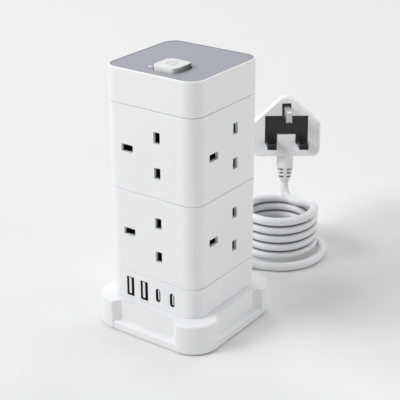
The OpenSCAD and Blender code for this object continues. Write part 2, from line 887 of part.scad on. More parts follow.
// Cap-shaped button: the flange under the collar stops it, the stem enters the switch
module power_button() {
    color("white") translate([button_x, button_y, 0]) {
        difference() {
            union() {
                translate([0, 0, flange_z])
                    soft_block(button_w, button_r, button_z - flange_z, button_edge / 10, button_edge);
                round_prism(button_w + 2 * (button_gap + button_flange), button_r + button_gap,
                            flange_z, flange_z + button_flange_t);
            }
            round_prism(button_w - 2 * button_wall, button_r - button_wall, flange_z - over, button_z - button_top_t);
        }
        rod(stem_r, switch_top - stem_dip, button_z - button_top_t / 2);
    }
}

// Helix point of the button's return spring
function spring_point(a, z0, z1) = let (t = a / (360 * coil_spring_turns))
    [coil_spring_r * cos(a), coil_spring_r * sin(a), z0 + (z1 - z0) * t];

module button_spring() {
    z0 = switch_top + coil_spring_wire / 2 + slip;
    z1 = button_z - button_top_t - coil_spring_wire / 2 - slip;
    steps = spring_rings * coil_spring_turns;
    path = [for (i = [0:steps]) spring_point(360 * i / spring_rings, z0, z1)];
    ups = [for (p = path) [0, 0, 1]];
    color("silver") translate([button_x, button_y, 0]) tube(path, ups, coil_spring_wire / 2, spring_sides);
}

module power_switch() {
    color("dimgray") translate([button_x, button_y, 0]) difference() {
        span([-switch_w / 2, -switch_w / 2, switch_z], [switch_w / 2, switch_w / 2, switch_top]);
        rod(stem_r + bore_gap, switch_top - switch_bore_d, switch_top + over);
    }
}

// Control board on the upper carrier, with two surge varistors
module control_board() {
    color("green") span([-board_w / 2, -board_w / 2 - board_shift, board_z],
                        [board_w / 2, board_w / 2 - board_shift, board_z + board_t]);
    color("royalblue") for (i = [0, 1])
        translate([varistor_x + 2 * i * varistor_t, varistor_y, switch_z + varistor_r])
            rotate([0, 90, 0]) cylinder(r = varistor_r, h = varistor_t);
}

module indicator_lens() {
    color("white") translate([lens_x, lens_y, 0]) rod(lens_r, switch_z, panel_z);
}

// Tube of round section swept along a path; ups holds one side direction for each point
module tube(path, ups, r, sides) {
    count = len(path);
    rings = [for (i = [0:count - 1]) let (
        a = path[max(i - 1, 0)],
        b = path[min(i + 1, count - 1)],
        t = (b - a) / norm(b - a),
        side = cross(t, ups[i]),
        u = side / norm(side),
        v = cross(u, t))
        for (k = [0:sides - 1]) let (w = 360 * k / sides) path[i] + r * (cos(w) * u + sin(w) * v)];
    walls = [for (i = [0:count - 2], k = [0:sides - 1]) let (m = (k + 1) % sides)
        each [[i * sides + k, i * sides + m, (i + 1) * sides + m], [i * sides + k, (i + 1) * sides + m, (i + 1) * sides + k]]];
    first = [for (k = [1:sides - 2]) [0, k + 1, k]];
    last_ring = (count - 1) * sides;
    last = [for (k = [1:sides - 2]) [last_ring, last_ring + k, last_ring + k + 1]];
    polyhedron(rings, concat(walls, first, last));
}

// Centre of the coil's cord at an angle: it winds in from the floor loop, then climbs
function wound(a) = min(1, (a - coil_start) / (coil_wound - coil_start));
function coil_radius(a) = coil_r + loop_extra * (1 + cos(180 * wound(a))) / 2;
function coil_height(a) = cord_d / 2 + coil_pitch * max(0, a - coil_climb) / 360;
function coil_point(a) = [
    coil_c[0] + coil_radius(a) * cos(a),
    coil_c[1] + coil_radius(a) * sin(a),
    coil_height(a)];
function coil_heading(a) = let (d = coil_point(a + 1) - coil_point(a - 1)) d / norm(d);

coil_step = 360 / coil_steps;
coil_angles = [for (a = [coil_start:coil_step:coil_end - 1.5 * coil_step]) a];
coil_first = coil_point(coil_start);
coil_last = coil_point(coil_end);
coil_in = [-sin(coil_start), cos(coil_start), 0];
coil_out = coil_heading(coil_end);
coil_path = concat(
    [coil_first, coil_first + coil_in * cord_d],
    [for (a = coil_angles) if (a > coil_start + coil_step) coil_point(a)],
    [coil_last - coil_out * cord_d, coil_last]);

// Least gap between one turn and the next, measured on the path's points
turn_gap = min([for (i = [0:len(coil_path) - 1], j = [i + coil_steps - 4:i + coil_steps + 4])
    if (j < len(coil_path)) norm(coil_path[i] - coil_path[j])]) - cord_d;
echo(turn_gap = turn_gap);  // cord_coil

module cord_coil() {
    color("white") tube(coil_path, [for (p = coil_path) [0, 0, 1]], cord_d / 2, coil_sides);
}

// Free lead from the gland to the coil, which it meets square and straight
module cord_lead() {
    path = concat(lead_points, [coil_first - coil_in * cord_d, coil_first]);
    color("white") tube(path, [for (p = path) [0, 0, 1]], cord_d / 2, tube_sides);
}

// Direction of the plug's upright axis and the tail that rises into its boot
plug_axis = [-sin(plug_turn) * sin(plug_lean), cos(plug_turn) * sin(plug_lean), cos(plug_lean)];
module cord_tail() {
    path = concat([coil_last, coil_last + coil_out * cord_d / 2], tail_points,
                  [plug_at - plug_axis * cord_d, plug_at]);
    color("white") tube(path, [for (p = path) [1, 0, 0]], cord_d / 2, tube_sides);
}

module at_plug() {
    translate(plug_at) rotate([0, 0, plug_turn]) rotate([-plug_lean, 0, 0]) children();
}

// Tapered boot with pairs of slots on its left and right
module plug_boot() {
    color("white") at_plug() difference() {
        rotate_extrude() polygon([
            [0, 0], [boot_tip_r, 0], [boot_neck_r, boot_neck_l],
            [boot_root_r, boot_l * boot_cone_share], [boot_root_r, boot_l], [0, boot_l]]);
        for (i = [0:boot_slots - 1], s = [-1, 1]) translate([0, 0, boot_slot_z + i * boot_slot_pitch]) difference() {
            span([min(s * boot_spine_w / 2, s * 2 * boot_root_r), -2 * boot_root_r, 0],
                 [max(s * boot_spine_w / 2, s * 2 * boot_root_r), 2 * boot_root_r, boot_slot_h]);
            rod(boot_core_r, -over, boot_slot_h + over);
        }
    }
}

// Outline of the plug: flat bottom, upright sides, sloping shoulders and a narrow round top
module plug_outline_rods(inset, near, far) {
    top = plug_z0 + plug_h - plug_top_r;
    places = [
        [plug_w / 2 - plug_corner_r, plug_z0 + plug_corner_r, plug_corner_r],
        [plug_w / 2 - plug_shoulder_r, plug_z0 + plug_side_h - plug_shoulder_r, plug_shoulder_r],
        [0, top, plug_top_r]];
    hull() for (p = places, s = [-1, 1]) translate([s * p[0], -near, p[1]]) rotate([90, 0, 0])
        cylinder(r = p[2] - inset, h = far - near, $fn = 32);
}

module plug_shape() {
    back = face_y + plug_t;
    hull() {
        plug_outline_rods(plug_edge, -face_y - plug_edge, -face_y);
        plug_outline_rods(0, -face_y - plug_rim_t, -face_y - plug_edge);
        translate([0, 0, plug_z0 + plug_h / 2]) scale([1 - plug_back_in / plug_w * 2, 1, 1 - plug_back_in / plug_h])
            translate([0, 0, -plug_z0 - plug_h / 2]) plug_outline_rods(0, -back, -back + plug_edge);
    }
}

// Black insert around the pins: a wide bar, a neck around the earth pin and two lobes
module insert_outline() {
    low = line_z + insert_low;
    high = line_z + insert_high;
    foot = line_z - lobe_down;
    tip = lobe_w - 2 * lobe_chamfer;
    half_side = [
        [neck_half_w, earth_z + neck_up], [neck_half_w, high], [bar_half_w, high],
        [bar_half_w, foot + lobe_chamfer], [bar_half_w - lobe_chamfer, foot],
        [bar_half_w - lobe_chamfer - tip, foot], [bar_half_w - lobe_w, foot + lobe_chamfer],
        [bar_half_w - lobe_w, low]];
    polygon(concat(half_side, [for (i = [len(half_side) - 1:-1:0]) [-half_side[i][0], half_side[i][1]]]));
}

module insert_block(near, far) {
    translate([0, -near, 0]) rotate([90, 0, 0]) linear_extrude(far - near) insert_outline();
}

// Space of the fuse carrier, grown by a gap
module carrier_space(gap, far) {
    span([-carrier_w / 2 - gap, -far, carrier_z - carrier_h / 2 - gap],
         [carrier_w / 2 + gap, face_y + carrier_d + gap, carrier_z + carrier_h / 2 + gap]);
}

// Rectangular pin with chamfered tip, centred on a place of the pin face
module pin_bar(size, x, z, back) {
    tip = face_y - size[1];
    translate([x, 0, z]) intersection() {
        translate([0, 0, -size[2] / 2]) linear_extrude(size[2]) polygon([
            [-size[0] / 2, back], [-size[0] / 2, tip + pin_chamfer], [-size[0] / 2 + pin_chamfer, tip],
            [size[0] / 2 - pin_chamfer, tip], [size[0] / 2, tip + pin_chamfer], [size[0] / 2, back]]);
        translate([-size[0] / 2, 0, 0]) rotate([90, 0, 90]) linear_extrude(size[0]) polygon([
            [back, -size[2] / 2], [tip + pin_chamfer, -size[2] / 2], [tip, -size[2] / 2 + pin_chamfer],
            [tip, size[2] / 2 - pin_chamfer], [tip + pin_chamfer, size[2] / 2], [back, size[2] / 2]]);
    }
}

module pin_cuts() {
    back = face_y + pin_root;
    for (s = [-1, 1]) pin_bar(line_pin, s * pin_pitch / 2, line_z, back);
    pin_bar(earth_pin, 0, earth_z, back);
}

module plug_body() {
    color("white") at_plug() difference() {
        plug_shape();
        insert_block(-face_y - insert_t, -face_y + over);
        pin_cuts();
        carrier_space(carrier_gap, -face_y + over);
    }
}

module plug_insert() {
    color("black") at_plug() difference() {
        insert_block(-face_y - insert_t, -face_y);
        pin_cuts();
        carrier_space(carrier_gap, -face_y + over);
    }
}

module plug_earth_pin() {
    color("silver") at_plug() pin_bar(earth_pin, 0, earth_z, face_y + pin_root);
}

// Live and neutral pins are necked where their sleeves go round them
module line_pin_core(s) {
    at_plug() difference() {
        pin_bar(line_pin, s * pin_pitch / 2, line_z, face_y + pin_root);
        sleeve_tube(s, 0);
    }
}

module sleeve_tube(s, gap) {
    translate([s * pin_pitch / 2, face_y - sleeve_l / 2, line_z]) difference() {
        cube([line_pin[0], sleeve_l, line_pin[2]], center = true);
        cube([line_pin[0] - 2 * (sleeve_t - gap), sleeve_l + over, line_pin[2] - 2 * (sleeve_t - gap)], center = true);
    }
}

module plug_live_pin() { color("dimgray") line_pin_core(1); }

module plug_neutral_pin() { color("dimgray") line_pin_core(-1); }

module pin_sleeves() {
    color("black") at_plug() for (s = [-1, 1]) sleeve_tube(s, 0);
}

// Drawer for the fuse, which slides straight out of the pin face
module fuse_carrier() {
    color("black") at_plug() difference() {
        carrier_space(0, -face_y);
        translate([0, fuse_y, carrier_z]) rotate([0, 90, 0]) cylinder(r = fuse_r + slip, h = fuse_l + 2 * slip, center = true);
        span([-fuse_l / 2 - slip, fuse_y, carrier_z - fuse_r - slip],
             [fuse_l / 2 + slip, face_y + carrier_d + over, carrier_z + fuse_r + slip]);
    }
}

module fuse() {
    color("silver") at_plug() translate([0, fuse_y, carrier_z]) rotate([0, 90, 0]) {
        cylinder(r = fuse_r - fuse_cap_t, h = fuse_l, center = true);
        for (s = [-1, 1]) translate([0, 0, s * (fuse_l - fuse_cap_l) / 2]) cylinder(r = fuse_r, h = fuse_cap_l, center = true);
    }
}

base_shell();
base_cover();
rubber_feet();
cover_screws();
tie_screws();
cord_gland();
cord_clamp();
clamp_screws();
inner_lead();
usb_housing();
usb_board();
charger_parts();
usb_a_shells();
usb_a_tongues();
usb_c_shells();
usb_c_tongues();
lower_socket_housing();
upper_socket_housing();
lower_shutter_guides();
upper_shutter_guides();
lower_contact_carrier();
upper_contact_carrier();
lower_shutter_springs();
upper_shutter_springs();
live_contacts();
neutral_contacts();
earth_contacts();
lower_front_shutter();
lower_right_shutter();
lower_back_shutter();
lower_left_shutter();
upper_front_shutter();
upper_right_shutter();
upper_back_shutter();
upper_left_shutter();
top_cap();
top_panel();
power_button();
button_spring();
power_switch();
control_board();
indicator_lens();
cord_lead();
cord_coil();
cord_tail();
plug_boot();
plug_body();
plug_insert();
plug_earth_pin();
plug_live_pin();
plug_neutral_pin();
pin_sleeves();
fuse_carrier();
fuse();
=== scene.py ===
"""Looks of the tower power strip: camera, mains lead, springs, small trim, finishes and light."""

import bpy
import numpy as np
from mathutils import Matrix, Vector


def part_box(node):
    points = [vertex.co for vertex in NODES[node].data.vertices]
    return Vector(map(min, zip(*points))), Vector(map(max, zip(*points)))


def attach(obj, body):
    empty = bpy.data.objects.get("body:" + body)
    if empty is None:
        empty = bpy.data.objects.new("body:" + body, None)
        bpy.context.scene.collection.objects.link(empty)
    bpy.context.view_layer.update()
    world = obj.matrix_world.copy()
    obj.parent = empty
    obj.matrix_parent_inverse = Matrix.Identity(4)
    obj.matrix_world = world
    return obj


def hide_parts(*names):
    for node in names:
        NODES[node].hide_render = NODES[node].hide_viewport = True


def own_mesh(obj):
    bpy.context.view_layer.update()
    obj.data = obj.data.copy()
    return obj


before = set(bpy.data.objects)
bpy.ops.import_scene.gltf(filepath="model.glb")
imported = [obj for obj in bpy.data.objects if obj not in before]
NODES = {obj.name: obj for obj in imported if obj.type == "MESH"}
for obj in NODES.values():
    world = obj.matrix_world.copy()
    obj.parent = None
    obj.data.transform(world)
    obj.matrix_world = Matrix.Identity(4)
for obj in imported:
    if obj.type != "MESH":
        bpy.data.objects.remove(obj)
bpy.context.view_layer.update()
MM = 0.001


# Camera

# The photograph's view, from a fit to twelve slots, the seams and the outline of the tower
VIEW_AZIMUTH = 35.867
VIEW_ELEVATION = 23.812
VIEW_ROLL = -0.221
VIEW_DISTANCE = 667.218 * MM
VIEW_TARGET = (12.405 * MM, 0.0, 83.364 * MM)
FOCAL_PIXELS = 1086.038
FRAME_PIXELS = 400
SENSOR_WIDTH = 36.0
CLIP_NEAR, CLIP_FAR = 0.01, 50


def photo_camera():
    """Camera at the target plus the distance along the view direction, turned by the roll."""
    azimuth, elevation, roll = np.radians([VIEW_AZIMUTH, VIEW_ELEVATION, VIEW_ROLL])
    level = np.cos(elevation)
    back = Vector((np.sin(azimuth) * level, -np.cos(azimuth) * level, np.sin(elevation)))
    right = Vector((0, 0, 1)).cross(back).normalized()
    up = back.cross(right)
    side = right * np.cos(roll) + up * np.sin(roll)
    top = up * np.cos(roll) - right * np.sin(roll)
    camera = bpy.data.objects.new("camera", bpy.data.cameras.new("camera"))
    bpy.context.collection.objects.link(camera)
    turn = Matrix((side, top, back)).transposed().to_4x4()
    camera.matrix_world = Matrix.Translation(Vector(VIEW_TARGET) + back * VIEW_DISTANCE) @ turn
    camera.data.sensor_width = SENSOR_WIDTH
    camera.data.lens = FOCAL_PIXELS / FRAME_PIXELS * SENSOR_WIDTH
    camera.data.clip_start = CLIP_NEAR
    camera.data.clip_end = CLIP_FAR
    bpy.context.scene.camera = camera


photo_camera()


# Mesh code


def grid_faces(rows, columns, wrap_rows=False, wrap_columns=False):
    """Quads between neighbouring rows and columns of a grid of points.

    A wrap joins the last row or column to the first."""
    row = np.arange(rows if wrap_rows else rows - 1)
    column = np.arange(columns if wrap_columns else columns - 1)
    i, j = (a.ravel() for a in np.meshgrid(row, column, indexing="ij"))
    i2, j2 = (i + 1) % rows, (j + 1) % columns
    return np.stack([i * columns + j, i * columns + j2, i2 * columns + j2, i2 * columns + j], -1)


def new_piece(name, points, faces, material, smooth=True):
    """Object at the origin from points in metres and a list of faces."""
    mesh = bpy.data.meshes.new(name)
    mesh.from_pydata(np.asarray(points, float).tolist(), [], [list(map(int, f)) for f in faces])
    mesh.polygons.foreach_set("use_smooth", np.full(len(mesh.polygons), smooth))
    mesh.materials.append(material)
    mesh.update()
    piece = bpy.data.objects.new(name, mesh)
    bpy.context.collection.objects.link(piece)
    return piece


def swept_tube(path, radius, sides, side_hint):
    """Points of a tube: at each point of the path a circle of the radius in the plane across it.

    The circle's first axis is the path's direction crossed with side_hint, so the tube never
    twists."""
    ahead = np.gradient(path, axis=0)
    ahead /= np.linalg.norm(ahead, axis=1, keepdims=True)
    u = np.cross(ahead, side_hint)
    u /= np.linalg.norm(u, axis=1, keepdims=True)
    v = np.cross(ahead, u)
    turn = np.linspace(0, 2 * np.pi, sides, endpoint=False)
    ring = np.cos(turn)[None, :, None] * u[:, None] + np.sin(turn)[None, :, None] * v[:, None]
    return path[:, None] + np.reshape(radius, (-1, 1, 1)) * ring


def tube_faces(rows, sides):
    """Quads round a tube of rows of points, and a flat cap on both ends."""
    caps = [list(range(sides))[::-1], list(range((rows - 1) * sides, rows * sides))]
    return grid_faces(rows, sides, wrap_columns=True).tolist() + caps


def level_bar(path, width, low, high):
    """Points and faces of a flat bar along a level path, all in metres.

    Each section is a rectangle from low to high, half the width to the left and to the right of
    the path."""
    ahead = np.gradient(path, axis=0)
    ahead /= np.linalg.norm(ahead, axis=1, keepdims=True)
    left = np.stack([-ahead[:, 1], ahead[:, 0]], -1) * width / 2
    sides = np.stack([path + left, path + left, path - left, path - left], 1)
    heights = np.array([low, high, high, low])[None, :, None]
    rows = len(path)
    points = np.concatenate([sides, np.broadcast_to(heights, (rows, 4, 1))], -1)
    faces = grid_faces(rows, 4, wrap_columns=True).tolist()
    faces += [[3, 2, 1, 0], [4 * rows - 4, 4 * rows - 3, 4 * rows - 2, 4 * rows - 1]]
    return points.reshape(-1, 3), faces


def joined(parts):
    """One list of points and one of faces, with each part's faces counted on from the last."""
    starts = np.cumsum([0] + [len(points) for points, faces in parts])
    faces = [[int(i + start) for i in face]
             for start, (points, faces) in zip(starts, parts) for face in faces]
    return np.vstack([points for points, faces in parts]), faces


def round_square(centre, width, radius, height, steps=12):
    """Level outline of a square with round corners: a quarter circle about each corner's centre."""
    angles = np.radians(np.arange(4)[:, None] * 90 + np.linspace(0, 90, steps)[None])
    corner = np.array([[1, 1], [-1, 1], [-1, -1], [1, -1]])[:, None] * (width / 2 - radius)
    flat = np.asarray(centre) + corner + radius * np.stack([np.cos(angles), np.sin(angles)], -1)
    return np.concatenate([flat.reshape(-1, 2), np.full((4 * steps, 1), height)], -1)


def square_ring(centre, outer, outer_radius, inner, inner_radius, low, high):
    """Points and faces of a square ring: four outlines, each joined to the next and all round.

    They are the outer outline low and high, then the inner outline high and low."""
    loops = [round_square(centre, outer, outer_radius, low),
             round_square(centre, outer, outer_radius, high),
             round_square(centre, inner, inner_radius, high),
             round_square(centre, inner, inner_radius, low)]
    faces = grid_faces(len(loops), len(loops[0]), wrap_rows=True, wrap_columns=True)
    return np.vstack(loops), faces.tolist()


def smooth_line(points, spacing):
    """Centripetal Catmull-Rom spline through the points, as a row of points about spacing apart."""
    p = np.asarray(points, float)
    p = np.vstack([2 * p[0] - p[1], p, 2 * p[-1] - p[-2]])
    t = np.concatenate([[0], np.cumsum(np.sqrt(np.linalg.norm(np.diff(p, axis=0), axis=1)))])
    out = []
    for i in range(1, len(p) - 2):
        count = max(2, int(np.ceil(np.linalg.norm(p[i + 1] - p[i]) / spacing)))
        s = np.linspace(t[i], t[i + 1], count, endpoint=False)[:, None]
        t0, t1, t2, t3 = t[i - 1:i + 3]
        a1 = (t1 - s) / (t1 - t0) * p[i - 1] + (s - t0) / (t1 - t0) * p[i]
        a2 = (t2 - s) / (t2 - t1) * p[i] + (s - t1) / (t2 - t1) * p[i + 1]
        a3 = (t3 - s) / (t3 - t2) * p[i + 1] + (s - t2) / (t3 - t2) * p[i + 2]
        b1 = (t2 - s) / (t2 - t0) * a1 + (s - t0) / (t2 - t0) * a2
        b2 = (t3 - s) / (t3 - t1) * a2 + (s - t1) / (t3 - t1) * a3
        out.append((t2 - s) / (t2 - t1) * b1 + (s - t1) / (t2 - t1) * b2)
    return np.vstack(out + [p[-2][None]])


# Sizes and places from the part's source, in millimetres and degrees

# Route of the mains lead
CORD_D = 6.0
COIL_CENTRE = (-1.0, 116.0)
COIL_R = 25.0
COIL_PITCH = 6.45
LOOP_EXTRA = 11.0
COIL_START, COIL_CLIMB, COIL_WOUND, COIL_END = -65.0, 100.0, 140.0, 1800.0
LEAD_POINTS = [
    (-12, 55, 11.4), (-12, 58.5, 11.4), (-11.2, 64, 10.8), (-9, 69, 9.1),
    (-5.5, 73.2, 6.9), (-1, 76.6, 4.9), (3.8, 79, 3.6)]
TAIL_POINTS = [
    (23, 123.8, 34), (20, 128.2, 34.2), (15.2, 130.6, 34.1), (9.7, 131.2, 33.6),
    (4.2, 131, 33), (-0.9, 131.1, 33.3), (-5.2, 131.9, 35.8)]

# Tip of the plug's boot, and the turn and the lean of the plug about it
PLUG_AT = np.array([-8.0, 133.5, 46.0])
PLUG_TURN, PLUG_LEAN = np.radians(36), np.radians(8)

# Panel, power button and its spring
PANEL_Z = 170.1
PANEL_W = 65.4
PANEL_R = 8.7
BUTTON_CENTRE = np.array([5.0, -16.0]) * MM
BUTTON_W = 17.5
BUTTON_R = 4.0
BUTTON_GAP = 1.0
BUTTON_Z = 173.1
COIL_SPRING_R, COIL_SPRING_WIRE = 4.6, 0.7
COIL_SPRING_LOW, COIL_SPRING_HIGH = 157.8, 171.1
COIL_SPRING_TURNS = 6

# Row of four ports
PORT_PITCH = 10.8
PORT_XS = [(-1.55 + i) * PORT_PITCH for i in range(4)]
PORT_Z = 29.4

# Shutters, and the room of their springs: its depth behind the face, and its ends along the face
SOCKET_Z = {"lower": 67.25, "upper": 121.75}
FACES = ("front", "right", "back", "left")
SPRING_Y = (27.15, 28.95)
SPRING_FROM, SPRING_WALL = 9.15, 19.5

# Clearance between a spring and what it stands on
SLIP = 0.05


def plug_axis():
    """Direction from the boot's tip to the plug: up, leaning by PLUG_LEAN, turned by PLUG_TURN."""
    lean = np.sin(PLUG_LEAN)
    return np.array([-np.sin(PLUG_TURN) * lean, np.cos(PLUG_TURN) * lean, np.cos(PLUG_LEAN)])


# Materials

# Flow marks of moulded plastic lie about 55 mm apart
FLOW_SCALE = 18.0
# A noise keeps almost wholly between these two values
NOISE_LOW, NOISE_HIGH = 0.3, 0.7
# How far the grain moves the roughness up and down, for each kind of surface
MOULDED_SPREAD, POLISHED_SPREAD, METAL_SPREAD = 0.04, 0.03, 0.06
# How strongly the eroded grain tilts the surface
GRAIN_STRENGTH = 0.35
# The polished button's grain is half a millimetre wide, as coarse as it needs to be to show
POLISHED_GRAIN = 0.5
# Distance from the boot's axis and height above its tip over which painted shade darkens its slots
BOOT_SLOT_RADII = (4.0, 3.5)
BOOT_SLOT_HEIGHTS = (2.4, 2.8)
# Depth behind the front of a port's tongue over which painted shade darkens its flanks
TONGUE_DEPTHS = (0.02, 0.15)
# Button: parts of the normal along X and Y between which a flank takes painted shade or painted
# light, the share of the painted shade at the front of the right flank, and both painted colours
RIGHT_FLANK = (0.05, 0.75)
FRONT_FLANK = (-0.3, -0.9)
FLANK_SHARE = 0.45
FLANK_PAINTED_SHADE, FLANK_PAINTED_LIGHT = "#232427", "#fafafb"


def srgb(text):
    """Linear RGBA of an sRGB hex colour."""
    c = np.array([int(text[i:i + 2], 16) for i in (1, 3, 5)]) / 255
    return (*np.where(c <= 0.04045, c / 12.92, ((c + 0.055) / 1.055) ** 2.4), 1.0)


def add(tree, kind, inputs=None, **settings):
    """Adds a node. An input given as a (node, output) pair is linked; any other value is set."""
    new = tree.nodes.new(kind)
    for name, value in settings.items():
        setattr(new, name, value)
    for name, value in (inputs or {}).items():
        if isinstance(value, tuple) and isinstance(value[0], bpy.types.Node):
            tree.links.new(value[0].outputs[value[1]], new.inputs[name])
        else:
            new.inputs[name].default_value = value
    return new


def start_material(name):
    """Empty node tree with its output, and the Object coordinates as a (node, output) pair."""
    material = bpy.data.materials.new(name)
    material.use_nodes = True
    tree = material.node_tree
    tree.nodes.clear()
    out = add(tree, "ShaderNodeOutputMaterial")
    place = (add(tree, "ShaderNodeTexCoord"), "Object")
    return material, tree, out, place


def moulded(name, colour, shade, roughness, grain_mm, grain_depth, dark=None, **shader):
    """Moulded plastic: an even colour with slow flow marks, and a fine eroded grain.

    The grain is a bump and a change of gloss. dark is a function that adds the nodes of a mask,
    with the hex colour that the plastic takes under it."""
    material, tree, out, place = start_material(name)
    flow = add(tree, "ShaderNodeTexNoise", {
        "Vector": place, "Scale": FLOW_SCALE, "Detail": 2.0, "Roughness": 0.5})
    grain = add(tree, "ShaderNodeTexNoise", {
        "Vector": place, "Scale": 1 / (grain_mm * MM), "Detail": 3.0})
    mix = add(tree, "ShaderNodeMix", {
        0: (flow, "Fac"), 6: srgb(colour), 7: srgb(shade)}, data_type="RGBA")
    if dark:
        mask, tone = dark
        mix = add(tree, "ShaderNodeMix", {
            0: mask(tree, place), 6: (mix, 2), 7: srgb(tone)}, data_type="RGBA")
    gloss = add(tree, "ShaderNodeMapRange", {
        0: (grain, "Fac"), 1: NOISE_LOW, 2: NOISE_HIGH,
        3: roughness - MOULDED_SPREAD, 4: roughness + MOULDED_SPREAD})
    bump = add(tree, "ShaderNodeBump", {
        "Height": (grain, "Fac"), "Strength": GRAIN_STRENGTH, "Distance": grain_depth * MM})
    surface = add(tree, "ShaderNodeBsdfPrincipled", {
        "Base Color": (mix, 2), "Roughness": (gloss, 0), "Normal": (bump, "Normal"), **shader})
    tree.links.new(surface.outputs[0], out.inputs["Surface"])
    return material


def crevice_shade_mask(tree, place):
    """The mesh's own painted shade value: 1 where a turn of cord faces the next one or the floor.
    """
    return add(tree, "ShaderNodeAttribute", attribute_name="crevice"), "Fac"


def boot_slot_shade_mask(tree, place):
    """1 within the boot's slots, whose painted shade it sets: nearer to the boot's axis than its
    outer skin ever is.

    The distance from the axis is the length of the cross product of the place, seen from the
    boot's tip, with the axis, and the height above the tip is their dot product."""
    axis = tuple(plug_axis())
    from_tip = add(tree, "ShaderNodeVectorMath", {
        0: place, 1: tuple(PLUG_AT * MM)}, operation="SUBTRACT")
    cross = add(tree, "ShaderNodeVectorMath", {
        0: (from_tip, 0), 1: axis}, operation="CROSS_PRODUCT")
    away = add(tree, "ShaderNodeVectorMath", {0: (cross, 0)}, operation="LENGTH")
    skin, bottom = BOOT_SLOT_RADII
    deep = add(tree, "ShaderNodeMapRange", {0: (away, "Value"), 1: skin * MM, 2: bottom * MM})
    height = add(tree, "ShaderNodeVectorMath", {0: (from_tip, 0), 1: axis}, operation="DOT_PRODUCT")
    low, high = BOOT_SLOT_HEIGHTS
    above = add(tree, "ShaderNodeMapRange", {0: (height, "Value"), 1: low * MM, 2: high * MM})
    return add(tree, "ShaderNodeMath", {0: (deep, 0), 1: (above, 0)}, operation="MULTIPLY"), 0


def tongue_flank_shade_mask(tree, place):
    """1 on the flanks of the ports' tongues, just behind their fronts: painted shade, for the shade
    of the port's depth.
    """
    where = add(tree, "ShaderNodeSeparateXYZ", {0: place})
    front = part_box("usb_a_tongues")[0][1]
    first, last = TONGUE_DEPTHS
    return add(tree, "ShaderNodeMapRange", {
        0: (where, "Y"), 1: front + first * MM, 2: front + last * MM}), 0


def button_plastic_painted_flanks(name, colour, shade, roughness):
    """Polished ABS with painted light on its front flank, paler than its top, and painted shade on
    its right flank, dark towards the back.

    The painted light follows the surface's own normal along -Y. The painted shade follows that
    normal along X, times the distance from front to back."""
    material, tree, out, place = start_material(name)
    grain = add(tree, "ShaderNodeTexNoise", {
        "Vector": place, "Scale": 1 / (POLISHED_GRAIN * MM), "Detail": 3.0})
    mix = add(tree, "ShaderNodeMix", {
        0: (grain, "Fac"), 6: srgb(colour), 7: srgb(shade)}, data_type="RGBA")
    normal = add(tree, "ShaderNodeSeparateXYZ", {
        0: (add(tree, "ShaderNodeNewGeometry"), "Normal")})
    where = add(tree, "ShaderNodeSeparateXYZ", {0: place})
    right = add(tree, "ShaderNodeMapRange", {
        0: (normal, "X"), 1: RIGHT_FLANK[0], 2: RIGHT_FLANK[1]}, interpolation_type="SMOOTHSTEP")
    front_y, back_y = (BUTTON_CENTRE[1] + side * BUTTON_W / 2 * MM for side in (-1, 1))
    back = add(tree, "ShaderNodeMapRange", {
        0: (where, "Y"), 1: front_y, 2: back_y, 3: FLANK_SHARE, 4: 1.0})
    painted_shade_amount = add(tree, "ShaderNodeMath", {0: (right, 0), 1: (back, 0)}, operation="MULTIPLY")
    front = add(tree, "ShaderNodeMapRange", {
        0: (normal, "Y"), 1: FRONT_FLANK[0], 2: FRONT_FLANK[1]}, interpolation_type="SMOOTHSTEP")
    pale = add(tree, "ShaderNodeMix", {
        0: (front, 0), 6: (mix, 2), 7: srgb(FLANK_PAINTED_LIGHT)}, data_type="RGBA")
    flank = add(tree, "ShaderNodeMix", {
        0: (painted_shade_amount, 0), 6: (pale, 2), 7: srgb(FLANK_PAINTED_SHADE)}, data_type="RGBA")
    gloss = add(tree, "ShaderNodeMapRange", {
        0: (grain, "Fac"), 1: NOISE_LOW, 2: NOISE_HIGH,
        3: roughness - POLISHED_SPREAD, 4: roughness + POLISHED_SPREAD})
    surface = add(tree, "ShaderNodeBsdfPrincipled", {
        "Base Color": (flank, 2), "Roughness": (gloss, 0)})
    tree.links.new(surface.outputs[0], out.inputs["Surface"])
    return material


def metal(name, colour, shade, roughness, brush_mm, direction):
    """Plated or rolled metal: marks stretched along one direction change its gloss and colour."""
    material, tree, out, place = start_material(name)
    stretch = add(tree, "ShaderNodeMapping", {"Vector": place, "Scale": direction})
    marks = add(tree, "ShaderNodeTexNoise", {
        "Vector": (stretch, 0), "Scale": 1 / (brush_mm * MM), "Detail": 4.0})
    mix = add(tree, "ShaderNodeMix", {
        0: (marks, "Fac"), 6: srgb(colour), 7: srgb(shade)}, data_type="RGBA")
    gloss = add(tree, "ShaderNodeMapRange", {
        0: (marks, "Fac"), 1: NOISE_LOW, 2: NOISE_HIGH,
        3: roughness - METAL_SPREAD, 4: roughness + METAL_SPREAD})
    surface = add(tree, "ShaderNodeBsdfPrincipled", {
        "Base Color": (mix, 2), "Roughness": (gloss, 0), "Metallic": 1.0})
    tree.links.new(surface.outputs[0], out.inputs["Surface"])
    return material


# For plastics the numbers are roughness, then width and depth of the grain in millimetres. For
# metals they are roughness, width of the marks in millimetres, and how the marks are stretched.

# Satin ABS, moulded with a fine eroded grain: bright, with a soft wide highlight
WHITE_ABS = moulded("white_abs_satin", "#f1f1f2", "#eeeeef", 0.42, 0.5, 0.015)
# Cover under the base in dark grey: painted shade, so the gap under the base reads as a dark
# contact shadow
COVER_PAINTED_SHADE = moulded("cover_abs_painted_shade", "#3c3d40", "#353639", 0.6, 0.6, 0.02)
# The same ABS as the housings, polished smoother on the button that a finger presses
# Its front flank carries painted light and its right flank painted shade, both set by the surface's
# normal
BUTTON_ABS_PAINTED_FLANKS = button_plastic_painted_flanks("button_abs_painted_flanks", "#dadadb", "#d7d7d8", 0.4)
